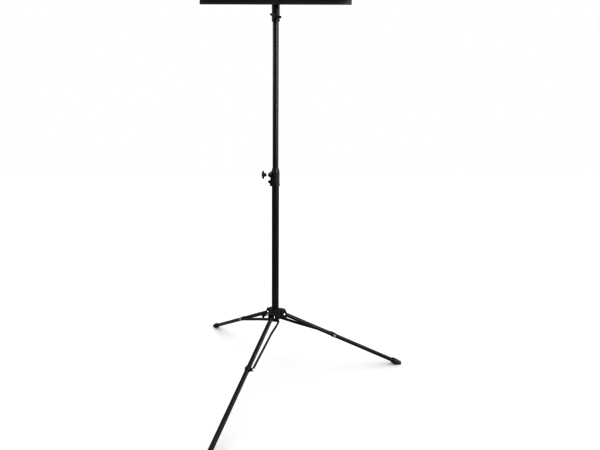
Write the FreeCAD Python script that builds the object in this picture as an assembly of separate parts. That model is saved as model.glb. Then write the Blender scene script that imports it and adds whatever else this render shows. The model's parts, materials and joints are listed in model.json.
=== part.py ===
"""Folding music stand: three-legged base with a sliding crown, telescopic column, tilting desk.

All sizes are in millimetres. Z is up and the floor is Z = 0. The desk's music side faces -Y.
Everything is drawn about the column axis and moved to its place in the shared frame at the end.
A leg group is drawn in its own plane (X outward, Y sideways) and turned about the column axis.
"""

import os
from math import cos, radians, sin

import FreeCAD
import Part

V = FreeCAD.Vector
ORIGIN = V(0, 0, 0)
UP = V(0, 0, 1)
RIGHT = V(1, 0, 0)
LEFT = V(-1, 0, 0)
BACKWARD = V(0, 1, 0)
FORWARD = V(0, -1, 0)

# the column's place, which puts the middle of the whole outline at the origin
COLUMN_X = -93.0
COLUMN_Y = 30.0

# fits, and how far a cutting shape reaches past what it cuts
SLIDE_GAP = 0.3
PIN_GAP = 0.1
BEYOND = 9.0
OVERLAP = 1.0

# column
LOWER_RADIUS = 12.5
LOWER_WALL = 1.5
LOWER_BOTTOM = 206.0
LOWER_TOP = 745.0
UPPER_RADIUS = 10.0
UPPER_WALL = 1.5
UPPER_BOTTOM = 640.0
UPPER_TOP = 1300.0
GUIDE_FLANGE = 4.0
GUIDE_LENGTH = 30.0
PLUG_FLANGE = 2.5
PLUG_LENGTH = 14.0

# legs: distances along a leg are from its pivot in the crown
AZIMUTHS = {"right": 7.28, "left": 126.9, "front": 248.1}
LEG_ANGLE = radians(26.15)
LEG_RADIUS = 7.0
LEG_WALL = 1.2
PIVOT_OUT = 32.0
PIVOT_UP = 228.0
LEG_TUBE_START = 20.0
LEG_TUBE_END = 493.0
INSERT_DEPTH = 30.0
FOOT_RINGS = (
    (478.0, 481.0, 9.0),
    (481.0, 501.0, 10.4),
    (501.0, 514.0, 9.0),
)
COLLAR_AT = 214.2
COLLAR_HALF = 7.0
COLLAR_RADIUS = 8.4
COLLAR_BOSS_RADIUS = 5.2
COLLAR_BOSS_PROUD = 0.5

# struts: flat bars with a set in them, so that their hub ends lie further out sideways
STRUT_SIDE = 14.5
STRUT_SIDE_AT_HUB = 18.0
STRUT_THICK = 3.0
STRUT_HALF_DEPTH = 4.5
STRUT_PIVOT_OUT = 11.0
STRUT_PIVOT_UP = 209.0
STRUT_SET = (0.12, 0.3)

# rivets
RIVET_RADIUS = 2.5
RIVET_HEAD_RADIUS = 4.4
RIVET_HEAD_THICK = 1.7
SMALL_RIVET_RADIUS = 2.0
SMALL_HEAD_RADIUS = 3.6
SMALL_HEAD_THICK = 1.4

# wing screws: one wing's outline as shares of its half span and its rise
WING_OUTLINE = ((0.0, -0.12), (0.62, -0.02), (1.0, 0.3), (0.94, 1.0), (0.55, 0.9), (0.0, 0.6))

# crown and its locking screw: a wing hub is radius, start and end; wings are half span, rise, thickness;
# a lug's profile is how far out and how far above the crown's bottom
CROWN_BOTTOM = 216.0
CROWN_TOP = 247.0
CROWN_RADIUS = 19.0
CROWN_BORE = 15.0
CROWN_LINER_INSET = 0.5
LUG_INNER = 7.3
LUG_OUTER = 10.3
LUG_END = 41.5
LUG_PROFILE = ((0.0, 31.0), (19.0, 31.0), (36.0, 27.5), (41.5, 20.0))
LUG_ROOF = 8.0
POCKET_START = 24.3
CROWN_SCREW_AZIMUTH = 187.28
CROWN_SCREW_UP = 226.5
CROWN_SCREW_RADIUS = 3.0
CROWN_BOSS_RADIUS = 7.0
CROWN_BOSS_END = 24.0
INSERT_RADIUS = 5.0
CROWN_WING_HUB = (4.5, 33.0, 50.0)
CROWN_WING_AT = 40.0
CROWN_WING = (11.0, 8.0, 4.6)

# strut hub
HUB_RADIUS = 14.2
HUB_TOP = 213.5
HUB_LUG_INNER = 9.5
HUB_LUG_OUTER = 17.7
HUB_LUG_HALF = 5.0

# height clamp
CLAMP_BOTTOM = 699.0
CLAMP_TOP = 761.0
CLAMP_RADIUS = 14.2
CLAMP_TAPER = 15.0
CLAMP_MOUTH_RADIUS = 11.6
CLAMP_SKIRT_RADIUS = 15.0
CLAMP_SKIRT = 10.0
CLAMP_SCREW_UP = 738.0
CLAMP_SCREW_RADIUS = 3.0
CLAMP_BOSS_START = 13.0
CLAMP_BOSS_END = 25.5
CLAMP_BOSS_RADII = (13.5, 4.6)
SPINE_HALF = 4.0
SPINE_OUT = 17.5
SPINE_FOOT_OUT = 19.5
LUG_NOSE_OUT = 26.0
LUG_NOSE = (8.0, 12.5, 18.0, 21.5)
SPINE_HEIGHT = 50.0
NUT_FLATS = 10.0
NUT_START = 12.8
NUT_END = 18.0
KNOB_START = 32.0
KNOB_DISC_START = 40.0
KNOB_RIM_END = 44.6
KNOB_DISC_END = 48.3
KNOB_DISC_RADIUS = 14.0
KNOB_NECK_RADIUS = 5.8
KNOB_ROUNDING = 1.6
GRIP_NOTCHES = 8
NOTCH_RADIUS = 2.2

# head and its locking screw
HEAD_BOTTOM = 1247.0
HEAD_TOP = 1308.0
HEAD_RADIUS = 13.0
HEAD_SCREW_UP = 1253.0
HEAD_SCREW_RADIUS = 3.0
HEAD_BOSS_RADIUS = 6.0
HEAD_BOSS_END = 17.0
HEAD_WING_HUB = (4.8, 18.5, 29.0)
HEAD_WING_AT = 22.0
HEAD_WING = (19.0, 9.5, 4.0)
HEAD_WING_TURN = radians(15.0)
TILT_UP = 1340.0
TONGUE_HALF = 4.0
TONGUE_HALF_WIDTH = 11.0
TONGUE_ROUND = 13.0
DISC_RADIUS = 12.0
DISC_THICK = 1.0

# desk
DESK_HALF = 245.0
DESK_FRONT = -32.0
DESK_THICK = 1.2
DESK_BOTTOM = 1285.6
DESK_TOP = 1625.0
DESK_FLANGE = 9.0
DESK_FLANGE_SETBACK = 25.0
DESK_CORNER = 12.0
HEM_HEIGHT = 4.6
LEDGE_HALF = 240.0
LEDGE_BOTTOM = 1303.0
LEDGE_DEPTH = 52.0
LEDGE_LIP = 14.0
LEDGE_FLANGE = 16.0
LEDGE_BEND = 1.0
LEDGE_RIVETS_X = (-220.0, -110.0, 0.0, 110.0, 220.0)
LEDGE_RIVETS_UP = 1312.6
BRACKET_HALF = 36.0
BRACKET_THICK = 2.5
BRACKET_BOTTOM = 1302.0
BRACKET_TOP = 1378.0
BRACKET_RIVETS = ((-27.0, 1322.0), (27.0, 1322.0), (-27.0, 1366.0), (27.0, 1366.0))
TILT_BOLT_RADIUS = 4.0
TILT_BOLT_PAST_WASHER = 9.0
TILT_BOLT_FLATS = 13.0
TILT_BOLT_HEAD = 5.3
TILT_NUT = 5.5
TILT_NUT_COLLAR_RADIUS = 5.6
TILT_NUT_COLLAR = 2.0
WASHER_RADIUS = 8.0
WASHER_THICK = 1.2


def cylinder(radius, start, end, point, direction):
    """A cylinder of the given radius between two distances along a line."""
    return Part.makeCylinder(radius, end - start, point + direction * start, direction)


def tube(outer, inner, start, end, point, direction):
    """A hollow cylinder between two distances along a line."""
    solid = cylinder(outer, start, end, point, direction)
    return solid.cut(cylinder(inner, start - BEYOND, end + BEYOND, point, direction))


def block(x0, x1, y0, y1, z0, z1):
    """A box between two corners."""
    return Part.makeBox(x1 - x0, y1 - y0, z1 - z0, V(x0, y0, z0))


def sheet_shape(corners, thickness):
    """A flat outline thickened along a vector."""
    return Part.Face(Part.makePolygon(corners + corners[:1])).extrude(thickness)


def joined(shapes):
    """One solid made of several overlapping ones."""
    return shapes[0].multiFuse(shapes[1:]).removeSplitter()


def turned(shape, azimuth):
    """The shape turned about the column axis."""
    copy = shape.copy()
    copy.rotate(ORIGIN, UP, azimuth)
    return copy


def three_of(shape):
    """The shape once for each leg."""
    return [turned(shape, azimuth) for azimuth in AZIMUTHS.values()]


def dome(radius, thickness, point, direction):
    """A low domed rivet head standing on a flat base."""
    ball_radius = (radius * radius + thickness * thickness) / (2 * thickness)
    ball = Part.makeSphere(ball_radius, point + direction * (thickness - ball_radius))
    return ball.common(cylinder(radius, 0, thickness + OVERLAP, point, direction))


def rivet(low, high, centre, headed=(True, True)):
    """A rivet along Y between two side faces; headed says which ends have a domed head."""
    parts = [cylinder(RIVET_RADIUS, low, high, centre, BACKWARD)]
    for has_head, end, direction in zip(headed, (low, high), (FORWARD, BACKWARD)):
        if has_head:
            base = centre + BACKWARD * end
            parts.append(dome(RIVET_HEAD_RADIUS, RIVET_HEAD_THICK, base, direction))
    return joined(parts)


def cranked_bar(first, second, half_depth, sides, thickness, shares):
    """A flat bar with round ends from one pivot to the other, with a set in it.

    sides are the two ends' near faces along Y; shares say where along the bar the set lies.
    """
    low, high = min(sides), max(sides) + thickness
    reach = second - first
    along = V(reach).normalize()
    across = V(-along.z, 0, along.x) * half_depth
    corners = [first + across, second + across, second - across, first - across]
    outline = [sheet_shape([V(c.x, low, c.z) for c in corners], V(0, high - low, 0))]
    for point in (first, second):
        outline.append(cylinder(half_depth, low, high, point, BACKWARD))
    past = along * BEYOND
    near, far = [first + reach * share for share in shares]
    line = [
        (first - past, sides[0]),
        (near, sides[0]),
        (far, sides[1]),
        (second + past, sides[1]),
    ]
    plan = [point - across * 2 + V(0, side, 0) for point, side in line]
    plan += [point + V(0, thickness, 0) for point in reversed(plan)]
    return joined(outline).common(sheet_shape(plan, across * 4))


def hexagon(across_flats, start, end, point, direction):
    """A six-sided prism along a line."""
    corner_radius = across_flats / (2 * cos(radians(30)))
    corners = []
    for step in range(6):
        turn = radians(60 * step)
        corners.append(V(corner_radius * cos(turn), corner_radius * sin(turn), start))
    solid = sheet_shape(corners, UP * (end - start))
    solid.Placement = FreeCAD.Placement(point, FreeCAD.Rotation(UP, direction))
    return solid


def wings(size, point, direction, spread):
    """Two flat wings; size is half span, rise and thickness, spread the way they reach out."""
    half_span, rise, thickness = size
    across = direction.cross(spread) * thickness
    parts = []
    for sign in (1, -1):
        corners = []
        for out, up in WING_OUTLINE:
            corner = point + spread * (sign * half_span * out) + direction * (rise * up)
            corners.append(corner - across * 0.5)
        parts.append(sheet_shape(corners, across))
    return joined(parts)


def wing_head(hub, wing_at, wing_size, stud_radius, line, direction, spread):
    """A moulded wing head with a blind hole for its stud; hub is radius, start and end."""
    radius, start, end = hub
    head = joined(
        [
            cylinder(radius, start, end, line, direction),
            wings(wing_size, line + direction * wing_at, direction, spread),
        ]
    )
    depth = (start + end) / 2
    return head.cut(cylinder(stud_radius, start - BEYOND, depth, line, direction)), depth


SHAPES = {}


def keep(name, solids):
    """Stores a node, made of one solid or of several separate ones, in the shared frame."""
    shape = Part.makeCompound(solids) if isinstance(solids, list) else solids.copy()
    shape.translate(V(COLUMN_X, COLUMN_Y, 0))
    SHAPES[name] = shape


leg_pivot = V(PIVOT_OUT, 0, PIVOT_UP)
strut_pivot = V(STRUT_PIVOT_OUT, 0, STRUT_PIVOT_UP)
down_leg = V(cos(LEG_ANGLE), 0, -sin(LEG_ANGLE))
collar_point = leg_pivot + down_leg * COLLAR_AT
collar_side = STRUT_SIDE - SLIDE_GAP
clamp_line = V(0, 0, CLAMP_SCREW_UP)
crown_line = V(0, 0, CROWN_SCREW_UP)
head_line = V(0, 0, HEAD_SCREW_UP)
tilt_point = V(0, 0, TILT_UP)
desk_back = DESK_FRONT + DESK_THICK
bracket_back = desk_back + BRACKET_THICK


def make_lower_column():
    """Lower tube, its end plug and the hub that holds the struts."""
    lower = tube(LOWER_RADIUS, LOWER_RADIUS - LOWER_WALL, LOWER_BOTTOM, LOWER_TOP, ORIGIN, UP)
    screw_hole = cylinder(CLAMP_SCREW_RADIUS + SLIDE_GAP, 0, CLAMP_BOSS_END, clamp_line, LEFT)
    keep("lower_tube", lower.cut(screw_hole))

    inside = LOWER_RADIUS - LOWER_WALL
    flange = cylinder(LOWER_RADIUS, LOWER_BOTTOM - PLUG_FLANGE, LOWER_BOTTOM, ORIGIN, UP)
    spigot = tube(
        inside, inside - LOWER_WALL, LOWER_BOTTOM - OVERLAP, LOWER_BOTTOM + PLUG_LENGTH, ORIGIN, UP
    )
    keep("tube_end_plug", joined([flange, spigot]))

    low, high = STRUT_PIVOT_UP - HUB_LUG_HALF, STRUT_PIVOT_UP + HUB_LUG_HALF
    arm = block(0, STRUT_PIVOT_OUT, HUB_LUG_INNER, HUB_LUG_OUTER, low, high)
    end = cylinder(HUB_LUG_HALF, HUB_LUG_INNER, HUB_LUG_OUTER, strut_pivot, BACKWARD)
    ring = cylinder(HUB_RADIUS, LOWER_BOTTOM, HUB_TOP, ORIGIN, UP)
    hub = joined([ring] + three_of(joined([arm, end])))
    column_way = cylinder(LOWER_RADIUS, LOWER_BOTTOM - BEYOND, HUB_TOP + BEYOND, ORIGIN, UP)
    hub = hub.cut(column_way)
    outer_face = STRUT_SIDE_AT_HUB + STRUT_THICK + SLIDE_GAP
    hub_rivets = three_of(rivet(HUB_LUG_INNER, outer_face, strut_pivot, headed=(False, True)))
    for solid in hub_rivets:
        hub = hub.cut(solid)
    keep("strut_hub", hub)
    keep("strut_hub_rivets", hub_rivets)


def make_crown():
    """The sliding crown with its leg lugs, liner and rivets."""
    side = [V(0, -LUG_OUTER, CROWN_BOTTOM), V(LUG_END, -LUG_OUTER, CROWN_BOTTOM)]
    for out, up in reversed(LUG_PROFILE):
        side.append(V(out, -LUG_OUTER, CROWN_BOTTOM + up))
    lug = sheet_shape(side, V(0, 2 * LUG_OUTER, 0))
    ring = cylinder(CROWN_RADIUS, CROWN_BOTTOM, CROWN_TOP, ORIGIN, UP)
    boss = cylinder(CROWN_BOSS_RADIUS, 0, CROWN_BOSS_END, crown_line, RIGHT)
    crown = joined([ring, turned(boss, CROWN_SCREW_AZIMUTH)] + three_of(lug))
    crown = crown.cut(cylinder(CROWN_BORE, CROWN_BOTTOM - BEYOND, CROWN_TOP + BEYOND, ORIGIN, UP))
    pocket = block(
        POCKET_START, LUG_END + BEYOND, -LUG_INNER, LUG_INNER,
        CROWN_BOTTOM - BEYOND, CROWN_TOP - LUG_ROOF,
    )
    pin_way = cylinder(RIVET_RADIUS, -LUG_OUTER - BEYOND, LUG_OUTER + BEYOND, leg_pivot, BACKWARD)
    for cutter in three_of(pocket) + three_of(pin_way):
        crown = crown.cut(cutter)
    insert_way = turned(
        cylinder(INSERT_RADIUS, 0, CROWN_BOSS_END + BEYOND, crown_line, RIGHT), CROWN_SCREW_AZIMUTH
    )
    keep("crown", crown.cut(insert_way))

    liner = tube(
        CROWN_BORE, LOWER_RADIUS + SLIDE_GAP,
        CROWN_BOTTOM + CROWN_LINER_INSET, CROWN_TOP - CROWN_LINER_INSET, ORIGIN, UP,
    )
    keep("crown_liner", liner.cut(insert_way))
    keep("crown_rivets", three_of(rivet(-LUG_OUTER, LUG_OUTER, leg_pivot)))


def make_crown_screw():
    """The wing screw that locks the crown on the column, and its threaded insert."""
    head, stud_end = wing_head(
        CROWN_WING_HUB, CROWN_WING_AT, CROWN_WING, CROWN_SCREW_RADIUS, crown_line, RIGHT, UP
    )
    stud = cylinder(
        CROWN_SCREW_RADIUS, LOWER_RADIUS + SLIDE_GAP, stud_end, crown_line, RIGHT
    )
    insert = tube(
        INSERT_RADIUS, CROWN_SCREW_RADIUS + SLIDE_GAP,
        LOWER_RADIUS + OVERLAP, CROWN_BOSS_END, crown_line, RIGHT,
    )
    for name, shape in (
        ("crown_insert", insert),
        ("crown_screw_stud", stud),
        ("crown_screw_wing", head),
    ):
        keep(name, turned(shape, CROWN_SCREW_AZIMUTH))


def make_leg():
    """The pieces of one leg, by name, drawn in the plane Y = 0."""
    pin_way = cylinder(RIVET_RADIUS, -BEYOND - LEG_RADIUS, BEYOND + STRUT_SIDE, collar_point, BACKWARD)
    inside = LEG_RADIUS - LEG_WALL
    leg_tube = tube(LEG_RADIUS, inside, LEG_TUBE_START, LEG_TUBE_END, leg_pivot, down_leg)

    insert_end = LEG_TUBE_START + INSERT_DEPTH
    insert = joined(
        [
            Part.makeSphere(LEG_RADIUS, leg_pivot),
            cylinder(LEG_RADIUS, 0, LEG_TUBE_START, leg_pivot, down_leg),
            cylinder(inside, LEG_TUBE_START - OVERLAP, insert_end, leg_pivot, down_leg),
        ]
    )
    pivot_way = cylinder(RIVET_RADIUS + PIN_GAP, -BEYOND, BEYOND, leg_pivot, BACKWARD)

    far_side = -COLLAR_RADIUS - COLLAR_BOSS_PROUD
    sleeve = cylinder(
        COLLAR_RADIUS, COLLAR_AT - COLLAR_HALF, COLLAR_AT + COLLAR_HALF, leg_pivot, down_leg
    )
    boss = cylinder(COLLAR_BOSS_RADIUS, far_side, collar_side, collar_point, BACKWARD)
    collar = joined([sleeve, boss])
    collar = collar.cut(cylinder(LEG_RADIUS, 0, LEG_TUBE_END, leg_pivot, down_leg)).cut(pin_way)

    foot_start, foot_end = FOOT_RINGS[0][0], FOOT_RINGS[-1][1]
    foot = joined(
        [cylinder(radius, start, end, leg_pivot, down_leg) for start, end, radius in FOOT_RINGS]
    )
    foot = foot.cut(cylinder(LEG_RADIUS, foot_start - BEYOND, LEG_TUBE_END, leg_pivot, down_leg))
    below_floor = block(0, 2 * foot_end, -foot_end, foot_end, -foot_end, 0)
    return {
        "tube": leg_tube.cut(pin_way),
        "insert": insert.cut(pivot_way),
        "collar": collar,
        "rivet": rivet(far_side, collar_side, collar_point, headed=(True, False)),
        "foot": foot.cut(below_floor),
    }


def make_strut():
    """One strut and the near half of the rivet that holds it to its leg."""
    bar = cranked_bar(
        strut_pivot, collar_point, STRUT_HALF_DEPTH,
        (STRUT_SIDE_AT_HUB, STRUT_SIDE), STRUT_THICK, STRUT_SET,
    )
    far = STRUT_SIDE_AT_HUB + STRUT_THICK + BEYOND
    bar = bar.cut(cylinder(RIVET_RADIUS + PIN_GAP, 0, far, strut_pivot, BACKWARD))
    bar = bar.cut(cylinder(RIVET_RADIUS, 0, far, collar_point, BACKWARD))
    outer = STRUT_SIDE + STRUT_THICK
    return {"bar": bar, "rivet": rivet(STRUT_SIDE, outer, collar_point, headed=(False, True))}


def make_legs_and_struts():
    """The three legs and struts, turned to their places."""
    for group, pieces in (("leg", make_leg()), ("strut", make_strut())):
        for piece, shape in pieces.items():
            for side, azimuth in AZIMUTHS.items():
                keep(f"{group}_{side}_{piece}", turned(shape, azimuth))


def make_height_clamp():
    """The clamp sleeve on top of the lower tube, its nut, liner, screw and knob."""
    shoulder = CLAMP_TOP - CLAMP_TAPER
    wide, narrow = CLAMP_BOSS_RADII
    boss_length = CLAMP_BOSS_END - CLAMP_BOSS_START
    outline = (
        (0, 0),
        (SPINE_FOOT_OUT, 0),
        (SPINE_FOOT_OUT, LUG_NOSE[0]),
        (LUG_NOSE_OUT, LUG_NOSE[1]),
        (LUG_NOSE_OUT, LUG_NOSE[2]),
        (SPINE_OUT, LUG_NOSE[3]),
        (SPINE_OUT, SPINE_HEIGHT),
        (0, SPINE_HEIGHT),
    )
    spine = sheet_shape(
        [V(-out, -SPINE_HALF, CLAMP_BOTTOM + up) for out, up in outline], V(0, 2 * SPINE_HALF, 0)
    )
    sleeve = joined(
        [
            cylinder(CLAMP_RADIUS, CLAMP_BOTTOM, shoulder, ORIGIN, UP),
            Part.makeCone(CLAMP_RADIUS, CLAMP_MOUTH_RADIUS, CLAMP_TAPER, V(0, 0, shoulder), UP),
            cylinder(CLAMP_SKIRT_RADIUS, CLAMP_BOTTOM, CLAMP_BOTTOM + CLAMP_SKIRT, ORIGIN, UP),
            Part.makeCone(wide, narrow, boss_length, clamp_line + LEFT * CLAMP_BOSS_START, LEFT),
            spine,
        ]
    )
    screw_way = cylinder(CLAMP_SCREW_RADIUS + SLIDE_GAP, 0, KNOB_START, clamp_line, LEFT)
    for cutter in (
        cylinder(LOWER_RADIUS, CLAMP_BOTTOM - BEYOND, LOWER_TOP, ORIGIN, UP),
        cylinder(UPPER_RADIUS + SLIDE_GAP, LOWER_TOP - BEYOND, CLAMP_TOP + BEYOND, ORIGIN, UP),
        hexagon(NUT_FLATS, 0, NUT_END, clamp_line, LEFT),
        screw_way,
    ):
        sleeve = sleeve.cut(cutter)
    keep("clamp_sleeve", sleeve)
    nut = hexagon(NUT_FLATS, NUT_START, NUT_END, clamp_line, LEFT)
    keep("clamp_nut", nut.cut(screw_way))
    liner = tube(
        LOWER_RADIUS - LOWER_WALL, UPPER_RADIUS + SLIDE_GAP, CLAMP_BOTTOM, LOWER_TOP, ORIGIN, UP
    )
    keep("clamp_liner", liner.cut(screw_way))

    screw_start = UPPER_RADIUS + SLIDE_GAP
    keep("clamp_screw", cylinder(CLAMP_SCREW_RADIUS, screw_start, KNOB_DISC_START, clamp_line, LEFT))
    knob = joined(
        [
            cylinder(KNOB_NECK_RADIUS, KNOB_START, KNOB_DISC_START + OVERLAP, clamp_line, LEFT),
            cylinder(KNOB_DISC_RADIUS, KNOB_DISC_START, KNOB_RIM_END, clamp_line, LEFT),
            dome(KNOB_DISC_RADIUS, KNOB_DISC_END - KNOB_RIM_END, clamp_line + LEFT * KNOB_RIM_END, LEFT),
        ]
    )
    rim = [edge for edge in knob.Edges if edge.BoundBox.ZLength > 2 * KNOB_DISC_RADIUS - OVERLAP]
    knob = knob.makeFillet(KNOB_ROUNDING, [edge for edge in rim if edge.BoundBox.XLength < OVERLAP])
    for step in range(GRIP_NOTCHES):
        notch = cylinder(
            NOTCH_RADIUS, KNOB_DISC_START - OVERLAP, KNOB_DISC_END + OVERLAP, clamp_line, LEFT
        )
        notch.translate(V(0, 0, KNOB_DISC_RADIUS + NOTCH_RADIUS / 2))
        notch.rotate(clamp_line, RIGHT, (step + 0.5) * 360.0 / GRIP_NOTCHES)
        knob = knob.cut(notch)
    keep("clamp_knob", knob.cut(cylinder(CLAMP_SCREW_RADIUS, 0, KNOB_DISC_START, clamp_line, LEFT)))


def make_upper_column():
    """The upper tube and the guide bush in its lower end."""
    inside = UPPER_RADIUS - UPPER_WALL
    keep("upper_tube", tube(UPPER_RADIUS, inside, UPPER_BOTTOM, UPPER_TOP, ORIGIN, UP))
    flange_radius = LOWER_RADIUS - LOWER_WALL - SLIDE_GAP
    flange = cylinder(flange_radius, UPPER_BOTTOM - GUIDE_FLANGE, UPPER_BOTTOM, ORIGIN, UP)
    spigot = cylinder(inside, UPPER_BOTTOM - OVERLAP, UPPER_BOTTOM + GUIDE_LENGTH, ORIGIN, UP)
    keep("upper_guide", joined([flange, spigot]))


def make_head():
    """The sleeve on top of the column, the tilt tongue with its discs, and the wing screw."""
    sleeve = joined(
        [
            cylinder(HEAD_RADIUS, HEAD_BOTTOM, HEAD_TOP, ORIGIN, UP),
            cylinder(HEAD_BOSS_RADIUS, 0, HEAD_BOSS_END, head_line, FORWARD),
        ]
    )
    tube_way = cylinder(
        UPPER_RADIUS + SLIDE_GAP, HEAD_BOTTOM - BEYOND, UPPER_TOP + SLIDE_GAP, ORIGIN, UP
    )
    screw_way = cylinder(
        HEAD_SCREW_RADIUS + SLIDE_GAP, 0, HEAD_BOSS_END + BEYOND, head_line, FORWARD
    )
    keep("head_sleeve", sleeve.cut(tube_way).cut(screw_way))

    tongue = joined(
        [
            block(
                -TONGUE_HALF, TONGUE_HALF, -TONGUE_HALF_WIDTH, TONGUE_HALF_WIDTH, HEAD_TOP, TILT_UP
            ),
            cylinder(TONGUE_ROUND, -TONGUE_HALF, TONGUE_HALF, tilt_point, RIGHT),
        ]
    )
    bolt_way = TILT_BOLT_RADIUS + PIN_GAP
    keep("tilt_tongue", tongue.cut(cylinder(bolt_way, -BEYOND, BEYOND, tilt_point, RIGHT)))
    disc_end = TONGUE_HALF + DISC_THICK
    keep(
        "friction_discs",
        [
            tube(DISC_RADIUS, bolt_way, TONGUE_HALF, disc_end, tilt_point, side)
            for side in (LEFT, RIGHT)
        ],
    )

    spread = V(cos(HEAD_WING_TURN), 0, -sin(HEAD_WING_TURN))
    head, stud_end = wing_head(
        HEAD_WING_HUB, HEAD_WING_AT, HEAD_WING, HEAD_SCREW_RADIUS, head_line, FORWARD, spread
    )
    keep("head_screw_wing", head)
    stud_start = UPPER_RADIUS + SLIDE_GAP
    keep("head_screw_stud", cylinder(HEAD_SCREW_RADIUS, stud_start, stud_end, head_line, FORWARD))


def desk_plate():
    """The upright sheet with folded-back side and top edges and a hem along its foot."""
    back = desk_back + DESK_FLANGE
    parts = [
        block(-DESK_HALF, DESK_HALF, DESK_FRONT, desk_back, DESK_BOTTOM, DESK_TOP),
        block(
            -DESK_HALF, DESK_HALF, DESK_FRONT - DESK_THICK, DESK_FRONT,
            DESK_BOTTOM, DESK_BOTTOM + HEM_HEIGHT,
        ),
        block(
            -DESK_HALF + DESK_FLANGE_SETBACK, DESK_HALF - DESK_FLANGE_SETBACK,
            DESK_FRONT, back, DESK_TOP - DESK_THICK, DESK_TOP,
        ),
    ]
    for side in (-1, 1):
        inner, outer = sorted((side * DESK_HALF, side * (DESK_HALF - DESK_THICK)))
        low, high = DESK_BOTTOM + DESK_FLANGE_SETBACK, DESK_TOP - DESK_FLANGE_SETBACK
        parts.append(block(inner, outer, DESK_FRONT, back, low, high))
    plate = joined(parts)
    for side in (-1, 1):
        centre = V(side * (DESK_HALF - DESK_CORNER), DESK_FRONT - BEYOND, DESK_TOP - DESK_CORNER)
        inner, outer = sorted((centre.x, side * (DESK_HALF + BEYOND)))
        corner = block(inner, outer, centre.y, back + BEYOND, centre.z, DESK_TOP + BEYOND)
        through = back + BEYOND - centre.y
        plate = plate.cut(corner.cut(cylinder(DESK_CORNER, 0, through, centre, BACKWARD)))
    return plate


def desk_ledge():
    """The folded ledge: a flange riveted to the plate, the shelf and its front lip."""
    front = DESK_FRONT - LEDGE_DEPTH
    profile = (
        (front, DESK_FRONT, DESK_THICK),
        (DESK_FRONT - DESK_THICK, DESK_FRONT, LEDGE_FLANGE),
        (front, front + DESK_THICK, LEDGE_LIP),
    )
    ledge = joined(
        [
            block(-LEDGE_HALF, LEDGE_HALF, y0, y1, LEDGE_BOTTOM, LEDGE_BOTTOM + height)
            for y0, y1, height in profile
        ]
    )
    bend = [
        edge
        for edge in ledge.Edges
        if edge.BoundBox.XLength > LEDGE_HALF
        and edge.BoundBox.ZMax < LEDGE_BOTTOM + PIN_GAP
        and edge.BoundBox.YMax < front + PIN_GAP
    ]
    return ledge.makeFillet(LEDGE_BEND, bend)


def tilt_bracket():
    """The plate behind the desk with two cheeks that take the tilt bolt."""
    cheek_in = TONGUE_HALF + DISC_THICK + SLIDE_GAP
    parts = [
        block(-BRACKET_HALF, BRACKET_HALF, desk_back, bracket_back, BRACKET_BOTTOM, BRACKET_TOP)
    ]
    for side in (-1, 1):
        inner, outer = sorted((side * cheek_in, side * (cheek_in + BRACKET_THICK)))
        low, high = TILT_UP - TONGUE_ROUND, TILT_UP + TONGUE_ROUND
        parts.append(block(inner, outer, desk_back, 0, low, high))
        parts.append(cylinder(TONGUE_ROUND, inner, outer, tilt_point, RIGHT))
    reach = cheek_in + BRACKET_THICK + BEYOND
    bracket = joined(parts).cut(cylinder(TILT_BOLT_RADIUS, -reach, reach, tilt_point, RIGHT))
    return bracket, cheek_in + BRACKET_THICK


def small_rivet(x, z, front, back):
    """A small rivet through sheet metal, along Y, headed on both faces."""
    point = V(x, 0, z)
    return joined(
        [
            cylinder(SMALL_RIVET_RADIUS, front, back, point, BACKWARD),
            dome(SMALL_HEAD_RADIUS, SMALL_HEAD_THICK, point + BACKWARD * front, FORWARD),
            dome(SMALL_HEAD_RADIUS, SMALL_HEAD_THICK, point + BACKWARD * back, BACKWARD),
        ]
    )


def make_desk():
    """The desk plate, ledge and tilt bracket with all that fastens them."""
    plate, ledge = desk_plate(), desk_ledge()
    bracket, cheek_out = tilt_bracket()
    ledge_rivets, bracket_rivets = [], []
    for x in LEDGE_RIVETS_X:
        back = bracket_back if abs(x) < BRACKET_HALF else desk_back
        ledge_rivets.append(
            small_rivet(x, LEDGE_RIVETS_UP, DESK_FRONT - DESK_THICK, back)
        )
    for x, z in BRACKET_RIVETS:
        bracket_rivets.append(small_rivet(x, z, DESK_FRONT, bracket_back))
    for solid in ledge_rivets + bracket_rivets:
        plate, ledge, bracket = plate.cut(solid), ledge.cut(solid), bracket.cut(solid)
    keep("desk_plate", plate)
    keep("desk_ledge", ledge)
    keep("ledge_rivets", ledge_rivets)
    keep("tilt_bracket", bracket)
    keep("bracket_rivets", bracket_rivets)

    washer_out = cheek_out + WASHER_THICK
    keep(
        "tilt_washers",
        [
            tube(WASHER_RADIUS, TILT_BOLT_RADIUS, cheek_out, washer_out, tilt_point, side)
            for side in (LEFT, RIGHT)
        ],
    )
    shank = cylinder(
        TILT_BOLT_RADIUS, -washer_out, washer_out + TILT_BOLT_PAST_WASHER, tilt_point, RIGHT
    )
    head = hexagon(TILT_BOLT_FLATS, washer_out, washer_out + TILT_BOLT_HEAD, tilt_point, LEFT)
    keep("tilt_bolt", joined([shank, head]))
    nut_end = washer_out + TILT_NUT
    nut = joined(
        [
            hexagon(TILT_BOLT_FLATS, washer_out, nut_end, tilt_point, RIGHT),
            cylinder(
                TILT_NUT_COLLAR_RADIUS, nut_end - OVERLAP, nut_end + TILT_NUT_COLLAR,
                tilt_point, RIGHT,
            ),
        ]
    )
    bolt_way = cylinder(TILT_BOLT_RADIUS, 0, nut_end + BEYOND, tilt_point, RIGHT)
    keep("tilt_nut", nut.cut(bolt_way))


make_lower_column()
make_crown()
make_crown_screw()
make_legs_and_struts()
make_height_clamp()
make_upper_column()
make_head()
make_desk()

os.makedirs("parts", exist_ok=True)
for name, shape in SHAPES.items():
    shape.exportStep(f"parts/{name}.step")
    print(f"{name}: {len(shape.Solids)} solid(s), valid {shape.isValid()}")
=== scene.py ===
"""Looks of the folding music stand: finishes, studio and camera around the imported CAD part."""

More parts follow.
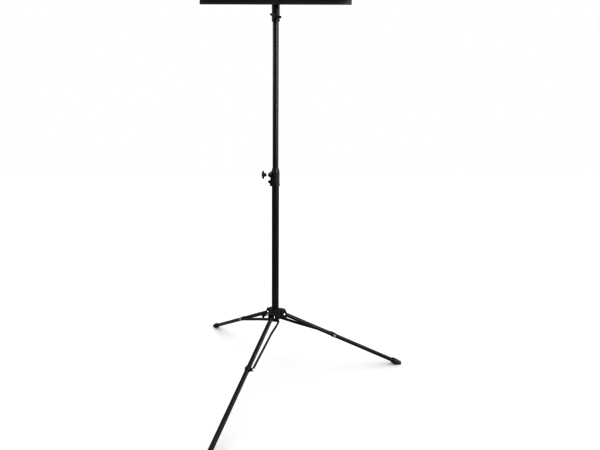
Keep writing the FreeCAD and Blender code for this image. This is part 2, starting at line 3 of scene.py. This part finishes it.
import json
import math

import bpy
from mathutils import Matrix, Vector


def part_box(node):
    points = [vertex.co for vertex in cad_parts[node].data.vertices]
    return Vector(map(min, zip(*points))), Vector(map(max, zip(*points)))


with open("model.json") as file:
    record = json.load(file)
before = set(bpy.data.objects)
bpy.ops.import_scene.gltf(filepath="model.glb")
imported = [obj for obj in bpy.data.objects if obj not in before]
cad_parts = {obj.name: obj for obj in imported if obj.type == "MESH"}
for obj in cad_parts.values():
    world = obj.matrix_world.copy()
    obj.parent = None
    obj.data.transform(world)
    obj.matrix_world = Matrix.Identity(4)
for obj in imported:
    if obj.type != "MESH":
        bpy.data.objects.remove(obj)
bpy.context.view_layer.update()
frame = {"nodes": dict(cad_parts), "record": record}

# Sizes are in metres, angles in degrees and lamp powers in watts.
LOW_GLOSS = 0.1
MIDTONE = (0.3, 0.7)
SCUFF_LIGHTER = 3.5
DUST_COLOUR = (0.2, 0.18, 0.16)
DUST_TOP = 0.03
SOFTENED_EDGES = {
    "crown": 0.0009,
    "strut_hub": 0.0005,
    "clamp_sleeve": 0.0005,
    "clamp_knob": 0.0004,
    "head_sleeve": 0.0004,
    "desk_plate": 0.0003,
    "desk_ledge": 0.0003,
    "tilt_bracket": 0.0004,
    "crown_screw_wing": 0.0006,
    "head_screw_wing": 0.0006,
}
EDGE_ANGLE = 40.0
EDGE_STEPS = 2

FLOOR_REACH = 30.0
SUN_POWER = 0.8
SUN_SPREAD = 70.0
LAMP_SPREAD = 90.0
VIEW_GAMMA = 0.7

LENS = 21.924
SENSOR = 36.0
SHIFT_RIGHT = 0.03488
SHIFT_UP = -0.01788
LOOKS_DOWN = 7.448
ROLL = 0.172
CAMERA_RIGHT = 0.013
CAMERA_DISTANCE = 1.2883
CAMERA_HEIGHT = 0.7673
NEAREST = 0.05
FARTHEST = 200.0


# ---------------------------------------------------------------- finishes
class Finish:
    """A material being put together from procedural nodes."""

    def __init__(self, name):
        self.material = bpy.data.materials.new(name)
        self.material.use_nodes = True
        self.tree = self.material.node_tree
        self.tree.nodes.clear()
        output = self.add("ShaderNodeOutputMaterial")
        self.shader = self.add("ShaderNodeBsdfPrincipled")
        self.link(self.shader.outputs["BSDF"], output.inputs["Surface"])
        self.place = self.add("ShaderNodeTexCoord").outputs["Object"]

    def add(self, kind):
        return self.tree.nodes.new(kind)

    def link(self, source, target):
        self.tree.links.new(source, target)

    def set_value(self, key, value):
        self.shader.inputs[key].default_value = value

    def noise(self, scale, detail=3.0, roughness=0.55, stretch=None):
        """A grey noise value; stretch scales its three axes."""
        node = self.add("ShaderNodeTexNoise")
        node.inputs["Scale"].default_value = scale
        node.inputs["Detail"].default_value = detail
        node.inputs["Roughness"].default_value = roughness
        place = self.place
        if stretch:
            mapping = self.add("ShaderNodeMapping")
            mapping.inputs["Scale"].default_value = stretch
            self.link(place, mapping.inputs["Vector"])
            place = mapping.outputs["Vector"]
        self.link(place, node.inputs["Vector"])
        return node.outputs["Fac"]

    def between(self, value, source, target=(0.0, 1.0)):
        """The value moved from one range to another, and clamped there."""
        node = self.add("ShaderNodeMapRange")
        self.link(value, node.inputs["Value"])
        for key, number in zip(("From Min", "From Max", "To Min", "To Max"), source + target):
            node.inputs[key].default_value = number
        return node.outputs["Result"]

    def blend(self, factor, first, second):
        """A colour between two others; each is a colour or a socket."""
        node = self.add("ShaderNodeMix")
        node.data_type = "RGBA"
        self.link(factor, node.inputs["Factor"])
        sockets = [socket for socket in node.inputs if socket.type == "RGBA"]
        for socket, colour in zip(sockets, (first, second)):
            if isinstance(colour, tuple):
                socket.default_value = (*colour, 1.0)
            else:
                self.link(colour, socket)
        return [socket for socket in node.outputs if socket.type == "RGBA"][0]

    def product(self, first, second):
        node = self.add("ShaderNodeMath")
        node.operation = "MULTIPLY"
        self.link(first, node.inputs[0])
        self.link(second, node.inputs[1])
        return node.outputs[0]

    def low_down(self, bottom, top):
        """1 at or below the height bottom, 0 at or above top."""
        node = self.add("ShaderNodeSeparateXYZ")
        self.link(self.place, node.inputs["Vector"])
        return self.between(node.outputs["Z"], (bottom, top), (1.0, 0.0))

    def coloured(self, colour):
        self.link(colour, self.shader.inputs["Base Color"])

    def roughened(self, value, least, most):
        self.link(self.between(value, MIDTONE, (least, most)), self.shader.inputs["Roughness"])

    def raised(self, value, strength, distance):
        """Small heights on the surface, from a value."""
        node = self.add("ShaderNodeBump")
        node.inputs["Strength"].default_value = strength
        node.inputs["Distance"].default_value = distance
        self.link(value, node.inputs["Height"])
        self.link(node.outputs["Normal"], self.shader.inputs["Normal"])


def painted(name, dark, light, rough, grain_scale, grain, worn=0.25):
    """Powder coat: a fine grain, faint cloudiness and a few rubbed spots."""
    made = Finish(name)
    made.set_value("Specular IOR Level", LOW_GLOSS)
    cloud = made.between(made.noise(scale=14.0, detail=4.0), MIDTONE)
    patches = made.noise(scale=46.0, detail=8.0, roughness=0.7)
    rubbed = made.between(patches, source=(0.66, 0.74), target=(0.0, worn))
    scuff = tuple(channel * SCUFF_LIGHTER for channel in light)
    made.coloured(made.blend(rubbed, made.blend(cloud, dark, light), scuff))
    made.roughened(made.noise(scale=30.0, detail=5.0), least=rough - 0.05, most=rough + 0.07)
    made.raised(made.noise(grain_scale, detail=2.0), strength=grain, distance=0.0004)
    return made.material


def moulded(name, dark, light, rough, grain_scale, grain, dust=0.0):
    """Plastic or rubber: a matt grain, with dust gathered near the floor if asked."""
    made = Finish(name)
    made.set_value("Specular IOR Level", LOW_GLOSS)
    colour = made.blend(made.between(made.noise(scale=60.0, detail=4.0), MIDTONE), dark, light)
    if dust:
        specks = made.noise(scale=210.0, detail=5.0)
        spread = made.between(specks, source=(0.42, 0.62), target=(0.0, dust))
        colour = made.blend(made.product(spread, made.low_down(0.0, DUST_TOP)), colour, DUST_COLOUR)
    made.coloured(colour)
    made.roughened(made.noise(scale=85.0, detail=4.0), least=rough - 0.06, most=rough + 0.08)
    made.raised(made.noise(grain_scale, detail=2.0), strength=grain, distance=0.0003)
    return made.material


def plated(name, dark, light, rough, stretch):
    """Bare or plated metal with faint tool marks."""
    made = Finish(name)
    made.set_value("Metallic", 1.0)
    marks = made.noise(scale=260.0, roughness=0.6, stretch=stretch)
    tarnish = made.between(made.noise(scale=120.0, detail=4.0), source=(0.35, 0.65))
    made.coloured(made.blend(tarnish, dark, light))
    made.roughened(marks, least=rough - 0.06, most=rough + 0.1)
    made.raised(marks, strength=0.12, distance=0.0002)
    return made.material


def grey(value, blue=1.0):
    """A grey, with its blue channel made stronger if asked."""
    return (value, value, value * blue)


FINISHES = {
    "frame_paint": painted(
        "frame_paint", grey(0.0025, 1.2), grey(0.005, 1.1), rough=0.34, grain_scale=900.0, grain=0.1
    ),
    "casting_paint": painted(
        "casting_paint",
        grey(0.0025, 1.2),
        grey(0.008, 1.12),
        rough=0.42,
        grain_scale=420.0,
        grain=0.3,
        worn=0.3,
    ),
    # Painted light: the desk's black paint gets a lighter grey than the frame's, standing in for light
    # that the ledge keeps off the plate's front.
    "desk_paint": painted(
        "desk_paint",
        grey(0.018, 1.06),
        grey(0.028, 1.04),
        rough=0.42,
        grain_scale=1100.0,
        grain=0.2,
        worn=0.05,
    ),
    "black_rivet": painted(
        "black_rivet", grey(0.004), grey(0.012), rough=0.36, grain_scale=800.0, grain=0.15, worn=0.5
    ),
    "black_plastic": moulded(
        "black_plastic", grey(0.003), grey(0.006), rough=0.4, grain_scale=700.0, grain=0.25
    ),
    "liner_plastic": moulded(
        "liner_plastic", grey(0.03, 1.06), grey(0.05), rough=0.5, grain_scale=500.0, grain=0.2
    ),
    "foot_rubber": moulded(
        "foot_rubber", grey(0.003), grey(0.006), rough=0.6, grain_scale=380.0, grain=0.4, dust=0.12
    ),
    "zinc": plated("zinc", (0.34, 0.345, 0.355), (0.5, 0.505, 0.515), rough=0.3, stretch=(1.0, 1.0, 5.0)),
    "chrome_screw": plated(
        "chrome_screw", (0.75, 0.76, 0.78), (0.86, 0.87, 0.89), rough=0.12, stretch=(6.0, 1.0, 1.0)
    ),
    "brass_insert": plated(
        "brass_insert", (0.55, 0.38, 0.14), (0.72, 0.52, 0.24), rough=0.28, stretch=(1.0, 1.0, 4.0)
    ),
}
for entry in frame["record"]["subparts"]:
    coat = frame["nodes"][entry["node"]].data.materials
    coat.clear()
    coat.append(FINISHES[entry["material_slot"]])


# ---------------------------------------------------------------- softened edges
def soften(node, width):
    """Rounds the sharp edges of a node's mesh when it is shown."""
    rounding = node.modifiers.new("edge", "BEVEL")
    rounding.width = width
    rounding.segments = EDGE_STEPS
    rounding.limit_method = "ANGLE"
    rounding.angle_limit = math.radians(EDGE_ANGLE)


for name, width in SOFTENED_EDGES.items():
    soften(frame["nodes"][name], width)

# ---------------------------------------------------------------- studio
scene = bpy.context.scene
scene.view_settings.view_transform = "Standard"
scene.view_settings.gamma = VIEW_GAMMA
column_low, column_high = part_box("lower_tube")
column = (column_low + column_high) / 2


def make_floor():
    """A wide, pale and matt floor."""
    made = Finish("floor_pale")
    cloud = made.between(made.noise(scale=3.0, detail=4.0), MIDTONE)
    made.coloured(made.blend(cloud, grey(0.86), grey(0.9)))
    made.set_value("Roughness", 0.9)
    made.set_value("Specular IOR Level", LOW_GLOSS)
    corners = [(-1, -1), (1, -1), (1, 1), (-1, 1)]
    mesh = bpy.data.meshes.new("floor")
    mesh.from_pydata([(x * FLOOR_REACH, y * FLOOR_REACH, 0) for x, y in corners], [], [(0, 1, 2, 3)])
    mesh.materials.append(made.material)
    floor = bpy.data.objects.new("floor", mesh)
    scene.collection.objects.link(floor)


def make_world():
    """White light from all around."""
    world = bpy.data.worlds.new("studio")
    scene.world = world
    world.use_nodes = True
    nodes = world.node_tree.nodes
    nodes.clear()
    output = nodes.new("ShaderNodeOutputWorld")
    sky = nodes.new("ShaderNodeBackground")
    sky.inputs["Color"].default_value = (1.0, 1.0, 1.0, 1.0)
    sky.inputs["Strength"].default_value = 1.0
    world.node_tree.links.new(sky.outputs["Background"], output.inputs["Surface"])


def make_sun():
    """Soft light from straight above."""
    sun = bpy.data.lights.new("overhead", "SUN")
    sun.energy = SUN_POWER
    sun.angle = math.radians(SUN_SPREAD)
    scene.collection.objects.link(bpy.data.objects.new("overhead", sun))


def make_soft_box(name, place, aim_height, width, height, power, lit):
    """A rectangular lamp aimed at the column; it lights only the objects of one collection."""
    lamp = bpy.data.lights.new(name, "AREA")
    lamp.shape = "RECTANGLE"
    lamp.size = width
    lamp.size_y = height
    lamp.energy = power
    lamp.spread = math.radians(LAMP_SPREAD)
    holder = bpy.data.objects.new(name, lamp)
    holder.location = place
    aim = Vector((column.x, column.y, aim_height)) - Vector(place)
    holder.rotation_euler = aim.to_track_quat("-Z", "Y").to_euler()
    holder.light_linking.receiver_collection = lit
    scene.collection.objects.link(holder)


make_floor()
make_world()
make_sun()
stand_only = bpy.data.collections.new("stand_only")
for node in frame["nodes"].values():
    stand_only.objects.link(node)
make_soft_box("key_right", (1.7, -1.9, 1.9), 0.7, width=0.4, height=1.8, power=80, lit=stand_only)
make_soft_box("side_right", (2.7, 0.0, 1.5), 0.7, width=0.5, height=2.2, power=40, lit=stand_only)
make_soft_box("fill_left", (-2.6, -0.1, 2.1), 1.2, width=0.4, height=1.4, power=30, lit=stand_only)


# ---------------------------------------------------------------- camera
def make_camera():
    """In front of the column at about half its height, looking a little down."""
    lens = bpy.data.cameras.new("camera")
    lens.sensor_width = SENSOR
    lens.lens = LENS
    lens.shift_x = SHIFT_RIGHT
    lens.shift_y = SHIFT_UP
    lens.clip_start = NEAREST
    lens.clip_end = FARTHEST
    camera = bpy.data.objects.new("camera", lens)
    place = (column.x + CAMERA_RIGHT, column.y - CAMERA_DISTANCE, CAMERA_HEIGHT)
    tilt = Matrix.Rotation(math.radians(90.0 - LOOKS_DOWN), 4, "X")
    roll = Matrix.Rotation(math.radians(ROLL), 4, "Z")
    camera.matrix_world = Matrix.Translation(place) @ tilt @ roll
    scene.collection.objects.link(camera)
    scene.camera = camera


make_camera()
